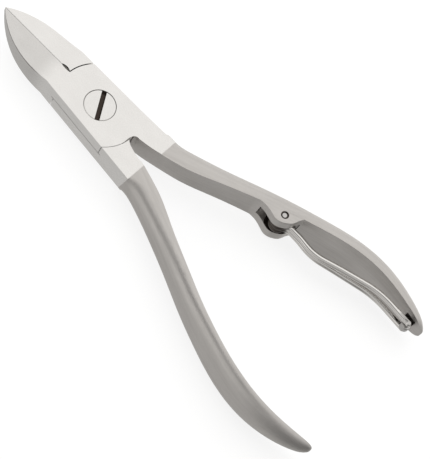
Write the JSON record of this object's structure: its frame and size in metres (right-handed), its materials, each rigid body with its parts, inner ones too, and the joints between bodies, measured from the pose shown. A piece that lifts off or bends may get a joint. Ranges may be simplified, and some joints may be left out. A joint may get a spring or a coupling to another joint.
{
  "type": "toenail nipper",
  "caption": "Lap-joint toenail nipper with a flush slotted pivot screw, long curved handles and a folding wire spring arm with a roller.",
  "frame": {"origin": "where the pivot axis meets the back face of the lap joint", "axes": "+Y runs from the handles to the cutting tip, +Z is the front face with the screw head, +X is the side of the handle that carries the spring arm"},
  "size_m": [0.0557, 0.13, 0.0128],
  "materials": {
    "forged_steel": "polished joint and blades, satin grips",
    "screw_steel": "polished",
    "spring_wire": "bright drawn wire",
    "pin_steel": "turned",
    "roller_steel": "turned"
  },
  "bodies": {
    "spring_side": {"spring_side_half": "forged_steel", "arm_pin": "pin_steel"},
    "plain_side": {"plain_side_half": "forged_steel", "pivot_screw": "screw_steel"},
    "arm": {"spring_arm": "spring_wire", "roller_axle": "pin_steel"},
    "roller": {"roller": "roller_steel"}
  },
  "joints": [
    {"name": "jaw_hinge", "type": "hinge", "parent": "spring_side", "child": "plain_side", "pos_m": [0, 0, 0.0037], "axis": [0, 0, 1], "range_deg": [-20, 0]},
    {"name": "arm_hinge", "type": "hinge", "parent": "spring_side", "child": "arm", "pos_m": [0.0152, -0.05075, 0.0037], "axis": [0, 0, 1], "range_deg": [-60, 1.2]},
    {"name": "roller_spin", "type": "hinge", "parent": "arm", "child": "roller", "pos_m": [0.02085, -0.0912, 0.0037], "axis": [0, 0, 1], "continuous": true}
  ]
}
